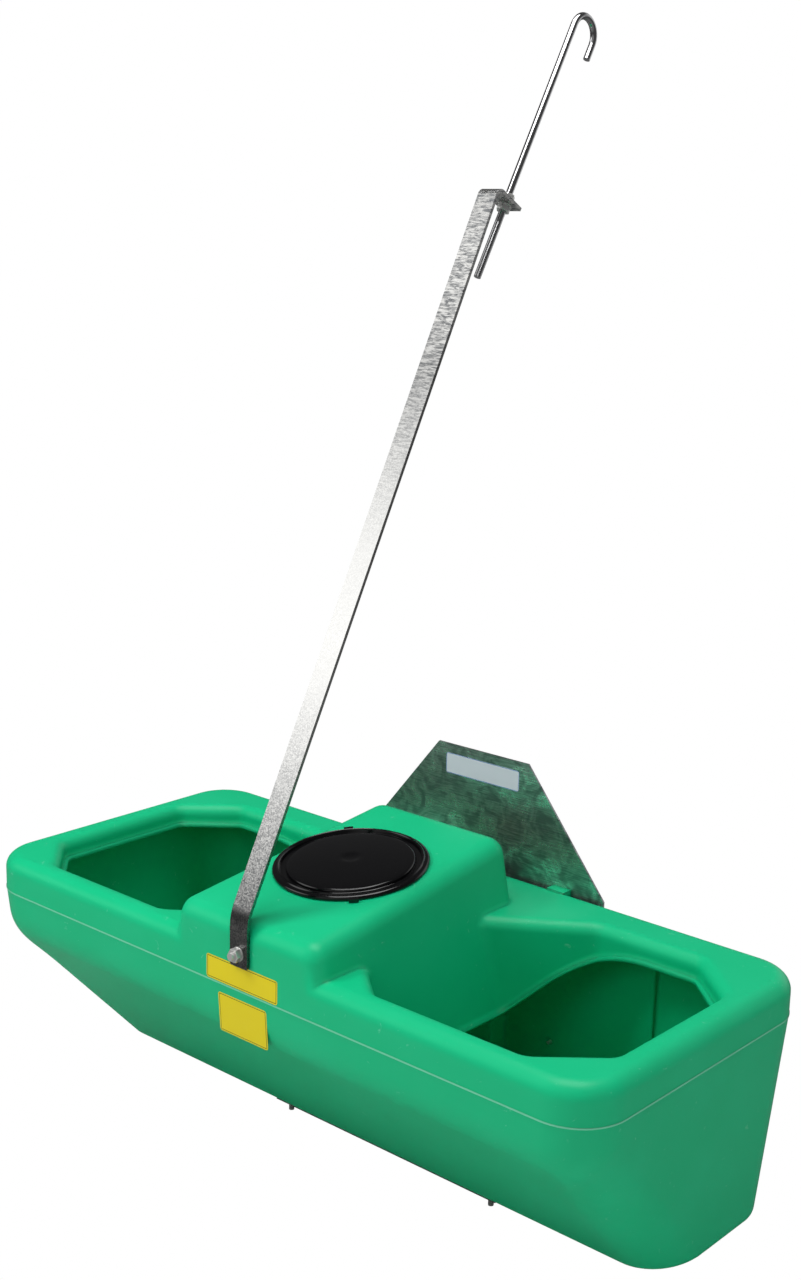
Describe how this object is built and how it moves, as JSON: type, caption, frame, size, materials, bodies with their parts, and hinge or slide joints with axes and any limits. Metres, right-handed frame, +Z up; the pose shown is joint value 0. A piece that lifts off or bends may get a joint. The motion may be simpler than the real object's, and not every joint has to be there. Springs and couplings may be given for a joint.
{
  "type": "hook-on livestock drinking trough",
  "caption": "Two-bay moulded drinking trough with a central float-valve housing, round cover, rear support plate and an adjustable hook strap for hanging it on a tank.",
  "frame": {"origin": "middle of the support plate's rear face, at the height of the shell's parting seam", "axes": "+Z up, +Y out of the support plate towards the tank, +X along the trough to the right as seen from the drinking side"},
  "size_m": [1.1012, 0.7013, 1.6106],
  "materials": {
    "green_shell": "satin",
    "galvanised": "satin",
    "zinc": "satin",
    "bright_zinc": "polished",
    "black_plastic": "matte",
    "white_plastic": "matte",
    "black_rubber": "matte",
    "brass": "satin",
    "yellow_label": "gloss",
    "white_label": "gloss"
  },
  "bodies": {
    "trough": {"shell_upper": "green_shell", "shell_lower": "green_shell", "support_plate": "galvanised", "foot_bolts": "zinc", "foot_bolt_seals": "black_rubber", "foot_bolt_nuts": "zinc", "rib_screws": "zinc", "strap_bolt": "zinc", "strap_bolt_seal": "black_rubber", "strap_washer": "zinc", "strap_nut": "zinc", "cover_ring": "black_plastic", "cover_seal": "black_rubber", "valve_body": "brass", "inlet_seal_inner": "black_rubber", "inlet_seal_outer": "black_rubber", "inlet_lock_nut": "brass", "pivot_pin": "zinc", "drain_bush": "black_plastic", "drain_seal": "black_rubber", "drain_nut": "black_plastic", "front_label_upper": "yellow_label", "front_label_lower": "yellow_label", "plate_label": "white_label"},
    "strap": {"hanger_strap": "galvanised", "rod_washer_upper": "zinc", "rod_washer_lower": "zinc"},
    "hook": {"hook_rod": "bright_zinc"},
    "upper_nut": {"rod_nut_upper": "zinc"},
    "lower_nut": {"rod_nut_lower": "zinc"},
    "lid": {"cover_lid": "black_plastic"},
    "float_lever": {"float_arm": "brass", "float_ball": "white_plastic", "float_nut": "brass"},
    "plunger": {"valve_plunger": "white_plastic", "plunger_pad": "black_rubber"},
    "drain_closure": {"drain_cap": "black_plastic"}
  },
  "joints": [
    {"name": "strap_swing", "type": "hinge", "parent": "trough", "child": "strap", "pos_m": [0, -0.484, 0.054], "axis": [0, 1, 0], "range_deg": [-30, 30]},
    {"name": "hook_slide", "type": "slide", "parent": "strap", "child": "hook", "axis": [0, 0.4939, 0.8695], "range_m": [-0.08, 0.08]},
    {"name": "upper_nut_turn", "type": "hinge", "parent": "strap", "child": "upper_nut", "pos_m": [0, 0.00698, 1.0015], "axis": [0, 0.4939, 0.8695], "continuous": true},
    {"name": "lower_nut_turn", "type": "hinge", "parent": "strap", "child": "lower_nut", "pos_m": [0, 0.00698, 1.0015], "axis": [0, 0.4939, 0.8695], "continuous": true},
    {"name": "lid_lift", "type": "slide", "parent": "trough", "child": "lid", "axis": [0, -0.1288, 0.9917], "range_m": [0, 0.06]},
    {"name": "float_swing", "type": "hinge", "parent": "trough", "child": "float_lever", "pos_m": [0, -0.1335, 0.06], "axis": [-1, 0, 0], "range_deg": [0, 24]},
    {"name": "plunger_slide", "type": "slide", "parent": "trough", "child": "plunger", "axis": [0, 1, 0], "range_m": [0, 0.01]},
    {"name": "drain_cap_turn", "type": "hinge", "parent": "trough", "child": "drain_closure", "pos_m": [-0.33, -0.1335, -0.29], "axis": [0, 0, 1], "continuous": true}
  ],
  "couplings": [
    {"joint": "plunger_slide", "follows": "float_swing", "m_per_rad": 0.023873}
  ]
}
